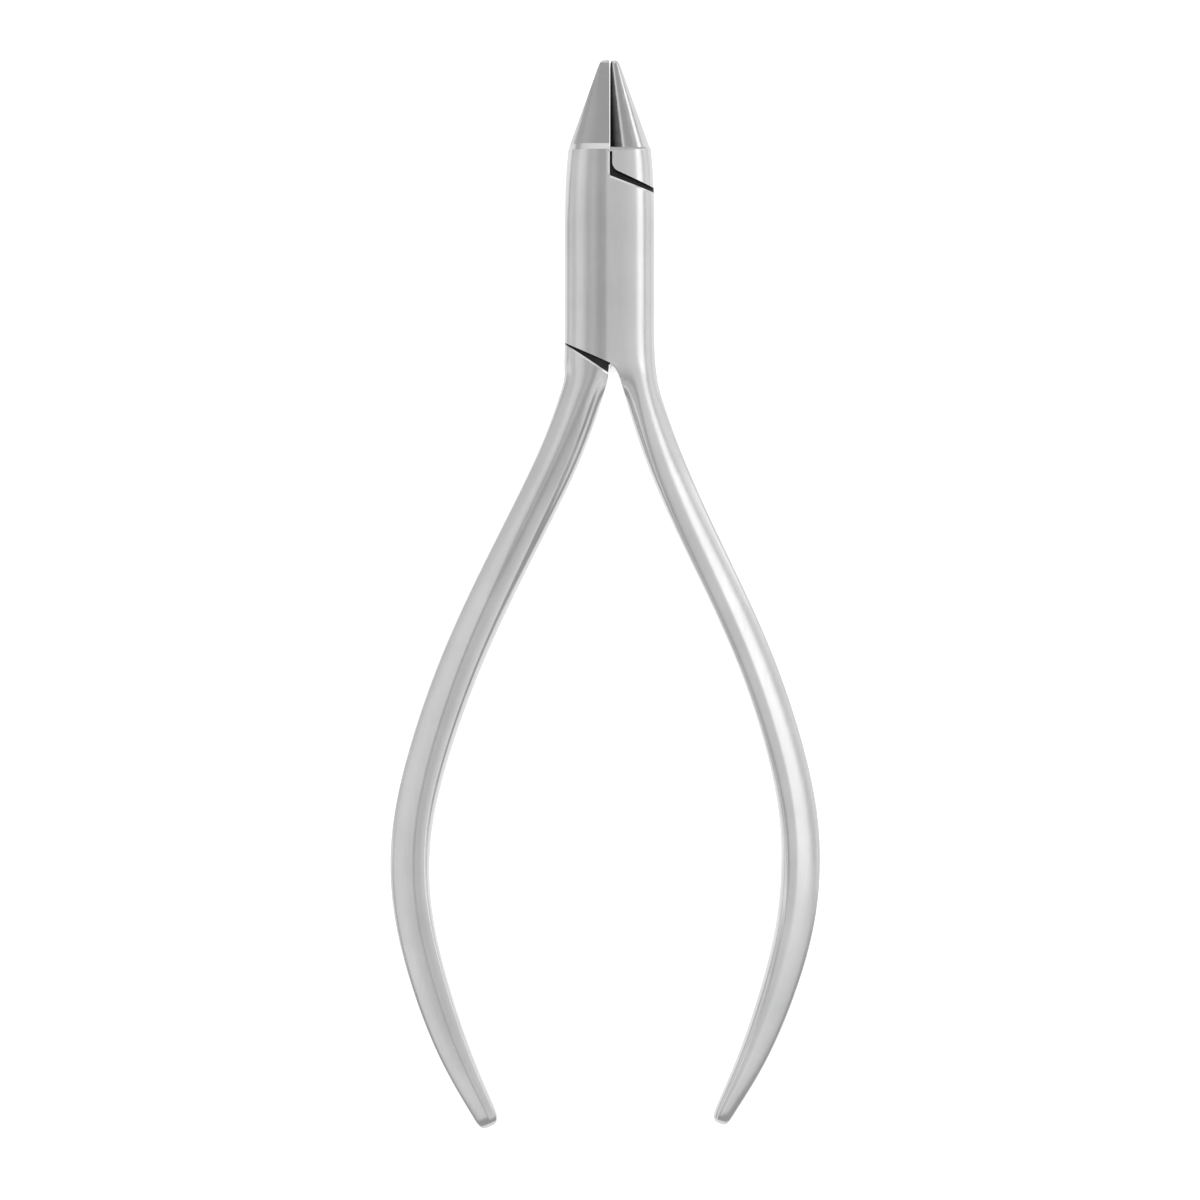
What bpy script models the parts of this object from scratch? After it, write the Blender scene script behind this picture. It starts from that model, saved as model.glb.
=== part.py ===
"""Bird-beak wire-bending pliers: two forged halves that cross in a lap joint, and the screw they turn on.

Lengths are in metres. The pliers lie on their back: X runs across them, Y from the handles to the beaks,
and Z out of their face. The pivot is the Z axis, and the joint's back face is at Z = 0.
Each half is laid out in its own plan frame, where U runs from the pivot axis towards that half's beak.
"""

import math

import bmesh
import bpy
import numpy as np

MM = 0.001

# Joint
JOINT_WIDTH = 10.9 * MM
JOINT_THICKNESS = 8.6 * MM
PIVOT_TO_BEAKS = 14.8 * MM
LAND_WIDTH = 2.4 * MM
CROWN_RADIUS = 7.7 * MM
SIDE_ROUNDING = 1.1 * MM
SIDE_SQUARENESS = 3.2
SHOULDER_LENGTH = 7.0 * MM
SHOULDER_NARROWING = 0.42 * MM
FLARE_LENGTH = 2.4 * MM
FLARE = 0.12 * MM
LAP_GAP = 0.1 * MM

# Slots between the shoulders: distance of each plate's edge from the pivot, and the turn of its normal from Y.
# What lies across the slot clears the plate's corner as it swings past. Beside the jaws the upper slot runs up
# along its wall to the foot of the round beak.
UPPER_PLATE_REACH = 10.55 * MM
UPPER_SLOT_TURN = math.radians(24.9)
UPPER_SWING_CLEARANCE = 0.45 * MM
LOWER_PLATE_REACH = 10.45 * MM
LOWER_PLATE_TURN = math.radians(22)
LOWER_HANDLE_TURN = math.radians(30)
LOWER_SWING_CLEARANCE = 0.15 * MM
SLOT_CORNER_RADIUS = 0.7 * MM
SLOT_WALL = 0.26 * MM
BEAK_FOOT = 0.3 * MM
CROTCH_MARGIN = 0.13 * MM
CROTCH_RELIEF = 0.1 * MM

# Beaks
BEAK_LENGTH = 10.7 * MM
BEAK_TIP_WIDTH = 1.1 * MM
BEAK_TIP_ROUNDING = 0.5 * MM
BEAK_STEP_LENGTH = 0.7 * MM
SQUARE_BEAK_DEPTH = 7.7 * MM
SQUARE_TIP_DEPTH = 1.1 * MM
SQUARE_BEAK_ROUNDING = 0.35 * MM
SQUARE_BEAK_SQUARENESS = 4.0
SQUARE_BEAK_JAW_EDGE = 0.02 * MM
ROUND_BEAK_JAW_EDGE = 0.06 * MM
ROUND_BEAK_CLEARANCE = 0.02 * MM

# Handles: from the crotch to the end, out to the middle of the grip, and across the grip.
# Each shape gives places on the centre line as shares of length and bow, and the width there as a share.
RIGHT_HANDLE_LENGTH = 92.8 * MM
RIGHT_HANDLE_BOW = 23.25 * MM
RIGHT_HANDLE_WIDTH = 4.76 * MM
RIGHT_HANDLE_SHAPE = (
    (0.011, 0.134, 1.069),
    (0.024, 0.147, 1.025),
    (0.049, 0.175, 0.970),
    (0.125, 0.284, 0.941),
    (0.234, 0.475, 0.916),
    (0.391, 0.770, 0.914),
    (0.550, 0.961, 0.950),
    (0.655, 1.000, 1.000),
    (0.760, 0.959, 0.965),
    (0.891, 0.790, 0.795),
    (1.000, 0.574, 0.460),
)
LEFT_HANDLE_LENGTH = 93.2 * MM
LEFT_HANDLE_BOW = 24.32 * MM
LEFT_HANDLE_WIDTH = 4.75 * MM
LEFT_HANDLE_SHAPE = (
    (0.011, 0.117, 1.125),
    (0.024, 0.121, 1.120),
    (0.049, 0.149, 1.100),
    (0.125, 0.254, 1.078),
    (0.233, 0.457, 1.048),
    (0.390, 0.745, 1.060),
    (0.547, 0.944, 1.018),
    (0.652, 1.000, 1.000),
    (0.756, 0.962, 0.962),
    (0.887, 0.806, 0.863),
    (1.000, 0.598, 0.560),
)
HANDLE_BLEND_LENGTH = 16 * MM
HANDLE_DEPTH = 6.2 * MM
HANDLE_END_DEPTH = 4.4 * MM
HANDLE_END_ROUNDING = 2.4 * MM
HANDLE_CROWN_RADIUS = 4.6 * MM
HANDLE_LAND_START = 0.30
HANDLE_LAND_END = 0.52
HANDLE_SIDE_SHARE = 0.44
HANDLE_SIDE_SQUARENESS = 2.1
HANDLE_CREASE_SHARE = 0.11

# Pivot screw
SCREW_HEAD_DIAMETER = 6.0 * MM
SCREW_HEAD_RIM = 0.5 * MM
SCREW_JOURNAL_DIAMETER = 4.2 * MM
SCREW_THREAD_DIAMETER = 3.0 * MM
SCREW_THREAD_LENGTH = 2.5 * MM
SCREW_RUNNING_CLEARANCE = 0.05 * MM
SCREW_SEAT_CLEARANCE = 0.05 * MM
SCREW_END_CLEARANCE = 0.2 * MM
DRIVE_HOLE_DIAMETER = 0.9 * MM
DRIVE_HOLE_DEPTH = 0.8 * MM
DRIVE_HOLE_SPACING = 3.6 * MM

# Fineness of the faceted surfaces
CROWN_STEPS = 6
SIDE_STEPS = 6
FLARE_STATIONS = 4
SHOULDER_STATIONS = 8
BEAK_STATIONS = 7
HANDLE_STATIONS = 36
END_STATIONS = 6
TURNED_STEPS = 48
CORNER_STEPS = 5
STATION_CROWDING = 1.25
TANGENT_STEP = 1e-4

MID_HEIGHT = JOINT_THICKNESS / 2
PIVOT_TO_CROTCH = LOWER_PLATE_REACH / math.cos(LOWER_PLATE_TURN) + CROTCH_MARGIN
BEYOND = 2 * JOINT_THICKNESS


def clear_scene():
    for obj in list(bpy.data.objects):
        bpy.data.objects.remove(obj, do_unlink=True)


def new_collection(name):
    collection = bpy.data.collections.new(name)
    bpy.context.scene.collection.children.link(collection)
    return collection


def steel(name, roughness):
    """Satin surgical steel."""
    material = bpy.data.materials.new(name)
    material.use_nodes = True
    shader = material.node_tree.nodes["Principled BSDF"]
    shader.inputs["Base Color"].default_value = (0.70, 0.70, 0.71, 1)
    shader.inputs["Metallic"].default_value = 1
    shader.inputs["Roughness"].default_value = roughness
    return material


def new_object(name, mesh, collection):
    obj = bpy.data.objects.new(name, mesh)
    collection.objects.link(obj)
    return obj


def smoothstep(share):
    share = min(max(share, 0.0), 1.0)
    return share * share * (3 - 2 * share)


def mix(start, end, share):
    return start + (end - start) * share


def natural_spline(points, places):
    """The natural cubic through the points, whose parameter is the chord length along them, read at places."""
    points = np.array(points, float)
    knots = np.concatenate([[0], np.cumsum(np.linalg.norm(np.diff(points[:, :2], axis=0), axis=1))])
    steps = np.diff(knots)
    count = len(points)
    system = np.eye(count)
    bend = np.zeros_like(points)
    for i in range(1, count - 1):
        system[i, i - 1 : i + 2] = steps[i - 1], 2 * (steps[i - 1] + steps[i]), steps[i]
        bend[i] = 6 * ((points[i + 1] - points[i]) / steps[i] - (points[i] - points[i - 1]) / steps[i - 1])
    second = np.linalg.solve(system, bend)
    values = []
    for place in places * knots[-1]:
        i = min(max(int(np.searchsorted(knots, place)) - 1, 0), count - 2)
        before, after, step = place - knots[i], knots[i + 1] - place, steps[i]
        values.append(
            (second[i] * after**3 + second[i + 1] * before**3) / (6 * step)
            + (points[i] / step - second[i] * step / 6) * after
            + (points[i + 1] / step - second[i + 1] * step / 6) * before
        )
    return np.array(values), knots[-1]


def column_section(width, depth, land_start, land_end, crown_radius, rounding, squareness, crease):
    """Half of a crowned bar as (u, z) points: front crease, outer side, back crease, then the inner middle.

    The front falls away on both sides of its flat land, and the outer side is a superellipse.
    """

    def crown(u):
        fall = max(0.0, u - land_end) ** 2 + max(0.0, land_start - u) ** 2
        return depth / 2 - fall / (2 * crown_radius)

    inner_end = width - rounding
    front = []
    for i in range(CROWN_STEPS):
        u = mix(crease, inner_end, i / CROWN_STEPS)
        front.append((u, crown(u)))
    for i in range(SIDE_STEPS):
        angle = math.pi / 2 * i / SIDE_STEPS
        u = inner_end + rounding * math.sin(angle) ** (2 / squareness)
        front.append((u, crown(u) * math.cos(angle) ** (2 / squareness)))
    back = [(u, -z) for u, z in reversed(front)]
    return [*front, (width, 0.0), *back, (0.0, 0.0)]


def round_section(inner, outer):
    """A circle from inner to outer, with the same number and order of points as a column section."""
    count = 2 * (CROWN_STEPS + SIDE_STEPS) + 2
    radius = (outer - inner) / 2
    angles = [math.pi - (k + 1) * math.tau / count for k in range(count)]
    return [(inner + radius * (1 + math.cos(a)), radius * math.sin(a)) for a in angles]


def joint_half_width(along):
    """Half of the joint's width along Y: it narrows over the shoulder and flares a little into the handles."""
    into_shoulder = max(0.0, along - (PIVOT_TO_BEAKS - SHOULDER_LENGTH)) / SHOULDER_LENGTH
    into_flare = max(0.0, -along - (PIVOT_TO_CROTCH - FLARE_LENGTH)) / FLARE_LENGTH
    return JOINT_WIDTH / 2 - SHOULDER_NARROWING * into_shoulder**2 + FLARE * into_flare**2


def joint_section(along):
    return column_section(
        joint_half_width(along),
        JOINT_THICKNESS,
        0.0,
        LAND_WIDTH / 2,
        CROWN_RADIUS,
        SIDE_ROUNDING,
        SIDE_SQUARENESS,
        0.0,
    )


def beak_width(rise):
    """Width of one beak at a height above the beaks' base."""
    base = joint_half_width(PIVOT_TO_BEAKS)
    left = max(BEAK_LENGTH - rise, 0.0)
    nose = min(left / BEAK_TIP_ROUNDING, 1.0)
    rounding = BEAK_TIP_ROUNDING * (1 - math.sqrt(1 - (1 - nose) ** 2))
    return mix(base, BEAK_TIP_WIDTH, rise / BEAK_LENGTH) - rounding


def beak_rises():
    """Heights of the beak's sections: its length in even steps, then closer ones round the tip."""
    even = np.linspace(BEAK_STEP_LENGTH, BEAK_LENGTH - BEAK_TIP_ROUNDING, BEAK_STATIONS)
    turns = np.linspace(0, math.pi / 2, 4)[1:]
    return [*even, *(BEAK_LENGTH - BEAK_TIP_ROUNDING * (1 - np.sin(turns)))]


def square_beak_sections():
    """The pyramid beak, with a sloping step down from the joint's faces."""
    sections = []
    for rise in beak_rises():
        share = (rise - BEAK_STEP_LENGTH) / (BEAK_LENGTH - BEAK_STEP_LENGTH)
        depth = mix(SQUARE_BEAK_DEPTH, SQUARE_TIP_DEPTH, share)
        width = beak_width(rise)
        rounding = min(SQUARE_BEAK_ROUNDING, width / 2)
        flat = column_section(width, depth, 0.0, width, CROWN_RADIUS, rounding, SQUARE_BEAK_SQUARENESS, 0.0)
        sections.append((rise, flat))
    return sections


def round_beak_sections():
    """The cone beak, which stands on the flat top of its shoulder."""
    inner = ROUND_BEAK_JAW_EDGE + ROUND_BEAK_CLEARANCE
    base = BEAK_STEP_LENGTH / 4
    return [(rise, round_section(inner, beak_width(rise))) for rise in [base, *beak_rises()]]


def handle_points(length, bow, width, shape):
    """The handle's centre line as (out, down, width), from the middle of its half of the joint's lower end."""
    root = joint_half_width(-PIVOT_TO_CROTCH)
    points = [(root / 2, PIVOT_TO_CROTCH, root)]
    points += [(bow * out, PIVOT_TO_CROTCH + length * down, width * wide) for down, out, wide in shape]
    return np.array(points)


def handle_stations(points):
    """Sections of one handle from the crotch to its end, as (centre, outward direction, section)."""
    places = np.linspace(0, 1, HANDLE_STATIONS + 1)[1:] ** STATION_CROWDING
    _, length = natural_spline(points, places)
    end_start = 1 - HANDLE_END_ROUNDING / length
    turns = np.linspace(0, math.pi / 2, END_STATIONS + 1)[1:-1]
    places = np.concatenate([places[places < end_start], [end_start], end_start + (1 - end_start) * np.sin(turns)])
    values, _ = natural_spline(points, places)
    nearby, _ = natural_spline(points, places - TANGENT_STEP)
    stations = []
    for place, (out, down, width), before in zip(places, values, nearby):
        blend = smoothstep(place * length / HANDLE_BLEND_LENGTH)
        tangent = np.array((down - before[1], out - before[0]))
        outward = mix(np.array((1.0, 0.0)), tangent / np.linalg.norm(tangent), blend)
        outward /= np.linalg.norm(outward)
        into_end = max(0.0, (place - end_start) / (1 - end_start))
        rounding = math.sqrt(1 - into_end**2)
        depth = mix(JOINT_THICKNESS, mix(HANDLE_DEPTH, HANDLE_END_DEPTH, place**2), blend) * rounding
        width *= rounding
        section = column_section(
            width,
            depth,
            mix(0.0, HANDLE_LAND_START * width, blend),
            mix(LAND_WIDTH / 2, HANDLE_LAND_END * width, blend),
            mix(CROWN_RADIUS, HANDLE_CROWN_RADIUS, blend),
            mix(SIDE_ROUNDING, HANDLE_SIDE_SHARE * width, blend),
            mix(SIDE_SQUARENESS, HANDLE_SIDE_SQUARENESS, blend),
            mix(0.0, HANDLE_CREASE_SHARE * width, blend),
        )
        stations.append(((out, -down), outward, [(u - width / 2, z) for u, z in section]))
    return stations


def bridge(mesh, lower, upper):
    """Quads between two loops with the same number of vertices."""
    for i, (a, b) in enumerate(zip(lower, upper)):
        mesh.faces.new((a, lower[i - 1], upper[i - 1], b))


def half_blank(name, beak_side, beak_sections, handle, collection):
    """One half before it is cut: the whole joint block, one beak above it and the other side's handle below it."""
    mesh = bmesh.new()

    def vertex(x, y, z):
        return mesh.verts.new((x, y, MID_HEIGHT + z))

    def block_station(along):
        """The beak's column and the handle's column, which share their creases."""
        section = joint_section(along)[:-1]
        beak_column = [vertex(beak_side * u, along, z) for u, z in section]
        outer = [vertex(-beak_side * u, along, z) for u, z in section[1:-1]]
        return beak_column, [beak_column[0], *outer, beak_column[-1]]

    flare = np.linspace(-PIVOT_TO_CROTCH, FLARE_LENGTH - PIVOT_TO_CROTCH, FLARE_STATIONS)
    shoulder = np.linspace(PIVOT_TO_BEAKS - SHOULDER_LENGTH, PIVOT_TO_BEAKS, SHOULDER_STATIONS)
    stations = [block_station(along) for along in [*flare, *shoulder]]
    for (low_beak, low_handle), (high_beak, high_handle) in zip(stations, stations[1:]):
        for low, high in ((low_beak, high_beak), (low_handle, high_handle)):
            for i in range(len(low) - 1):
                mesh.faces.new((low[i], low[i + 1], high[i + 1], high[i]))

    top_middle = vertex(0, PIVOT_TO_BEAKS, 0)
    loop = [*stations[-1][0], top_middle]
    mesh.faces.new([*stations[-1][1], top_middle])
    for rise, section in beak_sections:
        ring = [vertex(beak_side * u, PIVOT_TO_BEAKS + rise, z) for u, z in section]
        bridge(mesh, loop, ring)
        loop = ring
    mesh.faces.new(loop)

    bottom_middle = vertex(0, -PIVOT_TO_CROTCH, 0)
    loop = [*stations[0][1], bottom_middle]
    mesh.faces.new([*stations[0][0], bottom_middle])
    for (out, along), outward, section in handle_stations(handle):
        ring = [vertex(-beak_side * (out + u * outward[0]), along + u * outward[1], z) for u, z in section]
        bridge(mesh, loop, ring)
        loop = ring
    mesh.faces.new(loop)

    bmesh.ops.recalc_face_normals(mesh, faces=mesh.faces)
    data = bpy.data.meshes.new(name)
    mesh.to_mesh(data)
    mesh.free()
    return new_object(name, data, collection)


def rounded_corner(before, corner, after, radius):
    """Points of the arc that rounds a corner of an outline."""
    before, corner, after = (np.array(p) for p in (before, corner, after))
    towards_before = (before - corner) / np.linalg.norm(before - corner)
    towards_after = (after - corner) / np.linalg.norm(after - corner)
    half_angle = math.acos(float(towards_before @ towards_after)) / 2
    middle = towards_before + towards_after
    centre = corner + middle / np.linalg.norm(middle) * radius / math.sin(half_angle)
    start = corner + towards_before * radius / math.tan(half_angle) - centre
    end = corner + towards_after * radius / math.tan(half_angle) - centre
    turn = math.pi - 2 * half_angle
    points = []
    for i in range(CORNER_STEPS + 1):
        share = i / CORNER_STEPS
        weights = math.sin((1 - share) * turn) / math.sin(turn), math.sin(share * turn) / math.sin(turn)
        points.append(tuple(centre + weights[0] * start + weights[1] * end))
    return points


def line_height(reach, turn, side, above, u):
    """Height at u of the line whose normal leans by turn from Y towards side, above or below the pivot."""
    return above * (reach - side * u * math.sin(turn)) / math.cos(turn)


def corner_reach(reach, turn):
    """Distance from the pivot to the corner where such a line meets the joint's side."""
    return math.hypot(JOINT_WIDTH / 2, line_height(reach, turn, 1, 1, JOINT_WIDTH / 2))


def prism(name, outline, low, high, collection):
    """A cutter with an upright outline, between two heights."""
    mesh = bmesh.new()
    floor = mesh.faces.new([mesh.verts.new((x, y, low)) for x, y in outline])
    raised = bmesh.ops.extrude_face_region(mesh, geom=[floor])["geom"]
    tops = [v for v in raised if isinstance(v, bmesh.types.BMVert)]
    bmesh.ops.translate(mesh, verts=tops, vec=(0, 0, high - low))
    bmesh.ops.recalc_face_normals(mesh, faces=mesh.faces)
    data = bpy.data.meshes.new(name)
    mesh.to_mesh(data)
    mesh.free()
    return hide(new_object(name, data, collection))


def hide(cutter):
    cutter.hide_render = True
    cutter.display_type = "WIRE"
    return cutter


def apply_boolean(obj, cutter, operation="DIFFERENCE"):
    modifier = obj.modifiers.new(cutter.name, "BOOLEAN")
    modifier.object = cutter
    modifier.operation = operation
    modifier.solver = "EXACT"


def lap_cutters(name, beak_side, own_level_is_front, jaw_edge, slot_wall, collection):
    """Cutters that leave one plate of the lap joint, the whole of its own beak and the whole of its own handle.

    On its own level the plate stops at the other half's beak and at the other half's handle.
    On the other level only the own beak and the own handle are left, and there the beak's base stands back to
    the slot's wall.
    """
    top = PIVOT_TO_BEAKS + BEAK_LENGTH + BEYOND
    bottom = -(PIVOT_TO_CROTCH + BEYOND / 4)
    wide = JOINT_WIDTH
    beak_edge = corner_reach(UPPER_PLATE_REACH, UPPER_SLOT_TURN) + UPPER_SWING_CLEARANCE
    handle_edge = corner_reach(LOWER_PLATE_REACH, LOWER_PLATE_TURN) + LOWER_SWING_CLEARANCE
    crotch_edge = -CROTCH_RELIEF

    def plate_top(u):
        return line_height(UPPER_PLATE_REACH, UPPER_SLOT_TURN, -1, 1, u)

    def plate_bottom(u):
        return line_height(LOWER_PLATE_REACH, LOWER_PLATE_TURN, 1, -1, u)

    def beak_bottom(u):
        return line_height(beak_edge, UPPER_SLOT_TURN, 1, 1, u)

    def handle_top(u):
        return line_height(handle_edge, LOWER_HANDLE_TURN, -1, -1, u)

    other_beak = [(jaw_edge, top), (jaw_edge, plate_top(jaw_edge)), (-wide, plate_top(-wide)), (-wide, top)]
    other_handle = [
        (crotch_edge, plate_bottom(crotch_edge)),
        (wide, plate_bottom(wide)),
        (wide, bottom),
        (crotch_edge, bottom),
    ]
    foot = PIVOT_TO_BEAKS - BEAK_FOOT
    beak_corner = (slot_wall, beak_bottom(slot_wall))
    beak_far = (wide, beak_bottom(wide))
    jaw_side = [(jaw_edge, top)]
    if slot_wall > jaw_edge:
        jaw_side += [(jaw_edge, foot), (slot_wall, foot)]
    other_plate = [
        *jaw_side,
        *rounded_corner((slot_wall, top), beak_corner, beak_far, SLOT_CORNER_RADIUS),
        beak_far,
        (wide, bottom),
        (crotch_edge, bottom),
        (crotch_edge, handle_top(crotch_edge)),
        (-wide, handle_top(-wide)),
        (-wide, top),
    ]

    floor, ceiling = -BEYOND, JOINT_THICKNESS + BEYOND
    other = (floor, MID_HEIGHT + LAP_GAP / 2) if own_level_is_front else (MID_HEIGHT - LAP_GAP / 2, ceiling)

    def placed(outline):
        return [(beak_side * u, y) for u, y in outline]

    return [
        prism(name + "_plate_space", placed(other_plate), *other, collection),
        prism(name + "_beak_space", placed(other_beak), floor, ceiling, collection),
        prism(name + "_handle_space", placed(other_handle), floor, ceiling, collection),
    ]


def turned(name, profile, collection):
    """A solid of revolution about the pivot from an (r, z) profile that runs down its outer side."""
    mesh = bpy.data.meshes.new(name)
    points = [(r, 0, z) for r, z in profile]
    mesh.from_pydata(points, [(i, i + 1) for i in range(len(points) - 1)], [])
    obj = new_object(name, mesh, collection)
    screw = obj.modifiers.new("turning", "SCREW")
    screw.steps = screw.render_steps = TURNED_STEPS
    screw.use_merge_vertices = True
    screw.merge_threshold = MM / 1000
    screw.use_smooth_shade = True
    return obj


def screw_profile(extra, seat_extra, start, end_extra):
    """The screw's outline, or with clearances the outline of the hole it needs, from its end down to its head."""
    thread_radius = SCREW_THREAD_DIAMETER / 2 + extra
    journal_radius = SCREW_JOURNAL_DIAMETER / 2 + extra
    head_radius = SCREW_HEAD_DIAMETER / 2 + seat_extra
    thread_start = MID_HEIGHT + LAP_GAP / 2
    thread_end = thread_start + SCREW_THREAD_LENGTH + end_extra
    cone_top = SCREW_HEAD_RIM + head_radius - journal_radius
    return [
        (0, thread_end),
        (thread_radius, thread_end),
        (thread_radius, thread_start),
        (journal_radius, thread_start),
        (journal_radius, cone_top),
        (head_radius, SCREW_HEAD_RIM),
        (head_radius, start),
        (0, start),
    ]


def pivot_screw(material, parts, cutters):
    """A countersunk shoulder screw, its head ground flush with the crowned back and driven by two blind holes."""
    screw = turned("pivot_screw", screw_profile(-SCREW_RUNNING_CLEARANCE, 0.0, -LAP_GAP, 0.0), parts)
    crown = joint_block("joint_crown", cutters)
    apply_boolean(screw, crown, "INTERSECT")
    for side in (-1, 1):
        bpy.ops.mesh.primitive_cylinder_add(
            vertices=TURNED_STEPS // 3,
            radius=DRIVE_HOLE_DIAMETER / 2,
            depth=2 * DRIVE_HOLE_DEPTH,
            location=(0, side * DRIVE_HOLE_SPACING / 2, 0),
        )
        hole = bpy.context.active_object
        hole.name = "drive_hole_" + ("upper" if side > 0 else "lower")
        move_to(hole, cutters)
        apply_boolean(screw, hide(hole))
    screw.data.materials.append(material)
    return screw


def move_to(obj, collection):
    for old in list(obj.users_collection):
        old.objects.unlink(obj)
    collection.objects.link(obj)


def joint_block(name, collection):
    """The joint's crowned block alone, which the screw's head is ground flush with."""
    mesh = bmesh.new()
    rings = []
    for along in (-PIVOT_TO_CROTCH, PIVOT_TO_CROTCH):
        section = joint_section(0.0)[:-1]
        outline = section + [(-u, z) for u, z in reversed(section[1:-1])]
        rings.append([mesh.verts.new((u, along, MID_HEIGHT + z)) for u, z in outline])
    bridge(mesh, *rings)
    for ring in rings:
        mesh.faces.new(ring)
    bmesh.ops.recalc_face_normals(mesh, faces=mesh.faces)
    data = bpy.data.meshes.new(name)
    mesh.to_mesh(data)
    mesh.free()
    return hide(new_object(name, data, collection))


def shade(obj):
    for polygon in obj.data.polygons:
        polygon.use_smooth = True
    obj.data.set_sharp_from_angle(angle=math.radians(30))


def build():
    clear_scene()
    parts = new_collection("Wire-bending pliers")
    cutters = new_collection("Cutters")
    satin = steel("satin steel", 0.32)
    turned_steel = steel("turned steel", 0.25)

    right_handle = handle_points(RIGHT_HANDLE_LENGTH, RIGHT_HANDLE_BOW, RIGHT_HANDLE_WIDTH, RIGHT_HANDLE_SHAPE)
    left_handle = handle_points(LEFT_HANDLE_LENGTH, LEFT_HANDLE_BOW, LEFT_HANDLE_WIDTH, LEFT_HANDLE_SHAPE)
    front_half = half_blank("front_half", -1, square_beak_sections(), right_handle, parts)
    rear_half = half_blank("rear_half", 1, round_beak_sections(), left_handle, parts)
    for half, beak_side, jaw_edge, slot_wall, is_front in (
        (front_half, -1, SQUARE_BEAK_JAW_EDGE, SQUARE_BEAK_JAW_EDGE, True),
        (rear_half, 1, ROUND_BEAK_JAW_EDGE, SLOT_WALL, False),
    ):
        shade(half)
        half.data.materials.append(satin)
        for cutter in lap_cutters(half.name, beak_side, is_front, jaw_edge, slot_wall, cutters):
            apply_boolean(half, cutter)

    bore = turned(
        "pivot_bore",
        screw_profile(0.0, SCREW_SEAT_CLEARANCE, -BEYOND, SCREW_END_CLEARANCE),
        cutters,
    )
    for half in (front_half, rear_half):
        apply_boolean(half, hide(bore))
    pivot_screw(turned_steel, parts, cutters)

    pivot = bpy.data.objects.new("pivot", None)
    parts.objects.link(pivot)
    rear_half.parent = pivot


build()
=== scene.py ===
import math

import bmesh
import bpy
from mathutils import Matrix, Vector


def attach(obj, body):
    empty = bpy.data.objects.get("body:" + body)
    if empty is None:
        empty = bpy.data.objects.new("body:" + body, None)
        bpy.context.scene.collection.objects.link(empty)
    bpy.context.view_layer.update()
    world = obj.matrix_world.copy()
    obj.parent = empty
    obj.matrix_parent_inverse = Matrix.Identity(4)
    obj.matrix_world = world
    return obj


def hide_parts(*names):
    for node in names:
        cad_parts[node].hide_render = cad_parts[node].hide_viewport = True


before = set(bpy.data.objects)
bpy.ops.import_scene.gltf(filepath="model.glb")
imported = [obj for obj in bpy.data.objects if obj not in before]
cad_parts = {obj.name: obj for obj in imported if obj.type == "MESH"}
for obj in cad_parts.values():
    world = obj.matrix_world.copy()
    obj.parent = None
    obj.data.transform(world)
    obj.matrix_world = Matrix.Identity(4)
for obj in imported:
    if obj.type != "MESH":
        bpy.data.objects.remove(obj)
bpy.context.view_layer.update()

# Rear half: one stainless steel forging with the cone beak, the rear plate of the joint and the left handle.
# It starts as the whole joint block, drawn out ring by ring into the beak above and the handle below, and
# the room for the other half is then milled out of it.

MM = 0.001
MIDDLE = 4.3 * MM
CROTCH = 11.4 * MM
BEAK_BASE = 14.4 * MM
BEAK_LENGTH = 11.1 * MM
TIP_WIDTH = 1.1 * MM
SHOULDER_LENGTH, SHOULDER_NARROWING = 6.6 * MM, 0.37 * MM
FLARE_LENGTH, FLARE = 2.4 * MM, 0.12 * MM

# Control points of the joint's outline as (out from the middle, up from the middle plane), in mm.
FACE_WIDTH, FACE_HEIGHT = 5.45, 4.3
HALF_WIDTH = FACE_WIDTH * MM
RIGHT_FACE = [(1.3, 4.3), (2.3, 4.3), (3.2, 4.24), (4.1, 4.01), (4.9, 3.62), (5.45, 2.9)]
LEFT_FACE = [(0.45, 4.3), (1.3, 4.24), (2.2, 4.1), (3.2, 3.86), (4.6, 3.36), (5.45, 2.5)]
BACK_FACE = [(1.2, 4.3), (2.4, 4.25), (3.9, 3.85), (5.45, 2.9)]

# Lines that the corners of the block run along: front middle 0, round by the left to back middle 12 and
# by the right to 23. Line 24 is the middle of the wall between the two columns.
LEFT_LINES = [24, 0, 1, 2, 3, 4, 5, 6, 7, 8, 9, 10, 11, 12]
RIGHT_LINES = [24, 0, 23, 22, 21, 20, 19, 18, 17, 16, 15, 14, 13, 12]


def column(side):
    """Half of the joint's outline as (out, up) points: wall, front middle, front face, side, back face."""
    front = LEFT_FACE if side < 0 else RIGHT_FACE
    back = [(u, -z) for u, z in reversed(BACK_FACE)]
    outline = [(0, 0), (0, FACE_HEIGHT), *front, (FACE_WIDTH, 0), *back, (0, -FACE_HEIGHT)]
    return [(u * MM, z * MM) for u, z in outline]


def half_width(y):
    """Half the joint's width: it narrows towards the beaks and flares towards the handles."""
    into_shoulder = max(0.0, y - (BEAK_BASE - SHOULDER_LENGTH)) / SHOULDER_LENGTH
    into_flare = max(0.0, -y - (CROTCH - FLARE_LENGTH)) / FLARE_LENGTH
    return HALF_WIDTH - SHOULDER_NARROWING * into_shoulder**2 + FLARE * into_flare**2


def set_corners(bar, places):
    """Puts each selected corner on its line's new place."""
    mesh = bmesh.from_edit_mesh(bar.data)
    line = mesh.verts.layers.int["line"]
    for corner in mesh.verts:
        if corner.select:
            corner.co = places[corner[line]]
    bmesh.update_edit_mesh(bar.data)


def block_places(y):
    """Places of all the block's lines at a height along it."""
    places = {}
    for side, lines in ((-1, LEFT_LINES), (1, RIGHT_LINES)):
        for line, (u, z) in zip(lines, column(side)):
            places[line] = Vector((side * u * half_width(y) / HALF_WIDTH, y, MIDDLE + z))
    return places


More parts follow.
